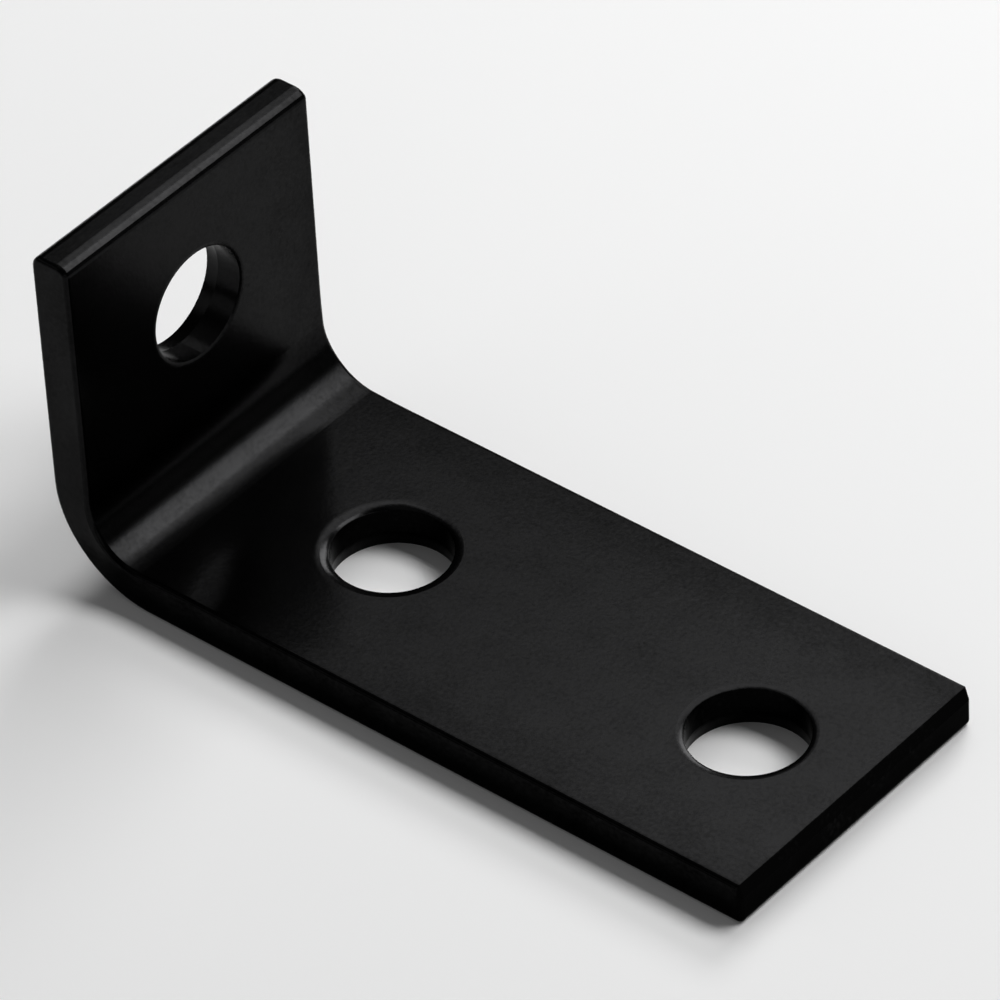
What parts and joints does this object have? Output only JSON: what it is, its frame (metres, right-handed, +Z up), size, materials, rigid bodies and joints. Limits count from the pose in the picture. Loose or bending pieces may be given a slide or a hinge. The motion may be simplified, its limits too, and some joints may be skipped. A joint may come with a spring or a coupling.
{
  "type": "corner brace",
  "caption": "Flat steel bar bent to a right angle, with a long leg, a short leg and punched bolt holes, in satin black powder coat.",
  "frame": {"origin": "the middle of the rectangle that the brace covers on the ground, on the ground plane, which is the long leg's outer face", "axes": "+X runs from the short leg along the long leg to its free end, +Y across the bar's width, +Z up along the short leg. Front is -Y, a side edge of the bar"},
  "size_m": [0.0918, 0.0386, 0.0426],
  "materials": {
    "black_powder_coat": "satin black powder coat over steel"
  },
  "bodies": {
    "root": {"corner_brace": "black_powder_coat"}
  },
  "joints": []
}
